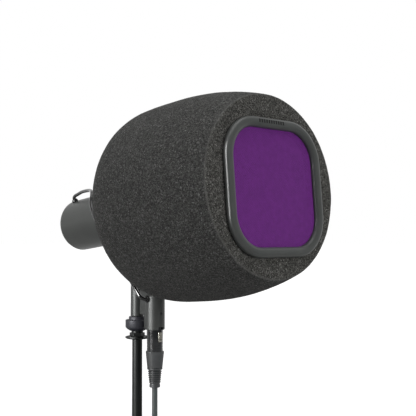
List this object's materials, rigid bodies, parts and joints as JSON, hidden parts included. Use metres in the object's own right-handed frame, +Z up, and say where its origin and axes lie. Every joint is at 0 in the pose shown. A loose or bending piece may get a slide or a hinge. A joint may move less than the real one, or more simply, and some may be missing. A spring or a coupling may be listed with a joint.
{
  "type": "microphone isolation shield",
  "caption": "Barrel-shaped acoustic foam shield with a square pop filter in its flat front, pushed over an end-address microphone on a yoke, with its stand collar and cable plug.",
  "frame": {"origin": "centre of the stand rod's lower end face", "axes": "+Z up along the stand rod, the shield and the microphone face -Y, X is left to right across the yoke's arms"},
  "size_m": [0.1896, 0.3016, 0.3237],
  "materials": {
    "acoustic_foam": "matte",
    "bezel_plastic": "satin",
    "purple_mesh": "matte",
    "black_plastic": "matte",
    "screw_steel": "satin",
    "barrel_paint": "satin",
    "grille_steel": "matte",
    "windscreen_foam": "matte",
    "capsule_metal": "satin",
    "rubber_black": "satin",
    "switch_metal": "satin",
    "board_green": "satin",
    "strap_paint": "satin",
    "casting_paint": "satin",
    "washer_nylon": "satin",
    "contact_silver": "polished",
    "collar_dark": "satin",
    "stand_black": "satin",
    "plug_chrome": "gloss",
    "latch_silver": "polished",
    "boot_rubber": "satin",
    "cable_jacket": "satin",
    "lead_jacket": "gloss"
  },
  "bodies": {
    "stand": {"stand_rod": "stand_black", "dished_washer": "stand_black", "jam_nut": "stand_black", "thread_adapter": "stand_black"},
    "collar": {"lock_collar": "collar_dark"},
    "yoke": {"yoke_block": "casting_paint", "yoke_strap": "strap_paint", "yoke_screw": "screw_steel", "friction_washers": "washer_nylon", "connector_insert": "black_plastic", "connector_pins": "contact_silver", "insert_screw": "screw_steel", "yoke_grommet": "rubber_black", "mic_lead": "lead_jacket"},
    "knob_left": {"left_knob": "black_plastic"},
    "knob_right": {"right_knob": "black_plastic"},
    "mic": {"mic_barrel": "barrel_paint", "front_ring": "barrel_paint", "mic_grille": "grille_steel", "grille_foam": "windscreen_foam", "capsule": "capsule_metal", "capsule_isolators": "rubber_black", "rear_cap": "barrel_paint", "rear_cap_screws": "screw_steel", "switch_plate": "switch_metal", "switch_board": "board_green", "barrel_grommet": "rubber_black"},
    "low_cut": {"low_cut_switch": "black_plastic"},
    "presence": {"presence_switch": "black_plastic"},
    "shield": {"foam_shell": "acoustic_foam"},
    "pop_filter": {"filter_bezel": "bezel_plastic", "front_mesh": "purple_mesh", "mesh_spacer": "black_plastic", "rear_mesh": "purple_mesh", "mesh_retainer": "black_plastic", "retainer_screws": "screw_steel"},
    "cable_plug": {"plug_shell": "plug_chrome", "plug_insert": "black_plastic", "plug_contacts": "contact_silver", "plug_chuck": "black_plastic", "plug_boot": "boot_rubber", "plug_cable": "cable_jacket"},
    "latch": {"plug_latch": "latch_silver"}
  },
  "joints": [
    {"name": "yoke_swivel", "type": "hinge", "parent": "stand", "child": "yoke", "pos_m": [0, 0, 0.1], "axis": [0, 0, 1], "range_deg": [-180, 180]},
    {"name": "collar_turn", "type": "hinge", "parent": "stand", "child": "collar", "pos_m": [0, 0, 0.1], "axis": [0, 0, 1], "continuous": true},
    {"name": "mic_tilt", "type": "hinge", "parent": "yoke", "child": "mic", "pos_m": [0, 0, 0.217], "axis": [-1, 0, 0], "range_deg": [-5, 33], "deforming": ["mic_lead"]},
    {"name": "knob_left_turn", "type": "hinge", "parent": "yoke", "child": "knob_left", "pos_m": [0, 0, 0.217], "axis": [-1, 0, 0], "continuous": true},
    {"name": "knob_right_turn", "type": "hinge", "parent": "yoke", "child": "knob_right", "pos_m": [0, 0, 0.217], "axis": [1, 0, 0], "continuous": true},
    {"name": "low_cut_slide", "type": "slide", "parent": "mic", "child": "low_cut", "axis": [0, 0.1219, 0.9925], "range_m": [0, 0.003]},
    {"name": "presence_slide", "type": "slide", "parent": "mic", "child": "presence", "axis": [0, 0.1219, 0.9925], "range_m": [0, 0.003]},
    {"name": "shield_pull", "type": "slide", "parent": "mic", "child": "shield", "axis": [0, -0.9925, 0.1219], "range_m": [0, 0.1]},
    {"name": "filter_pull", "type": "slide", "parent": "shield", "child": "pop_filter", "axis": [0, -0.9962, 0.0872], "range_m": [0, 0.04]},
    {"name": "plug_pull", "type": "slide", "parent": "yoke", "child": "cable_plug", "axis": [0, 0, -1], "range_m": [0, 0.03]},
    {"name": "latch_press", "type": "slide", "parent": "cable_plug", "child": "latch", "axis": [0, 1, 0], "range_m": [0, 0.001], "stiffness_N_per_m": 400}
  ]
}
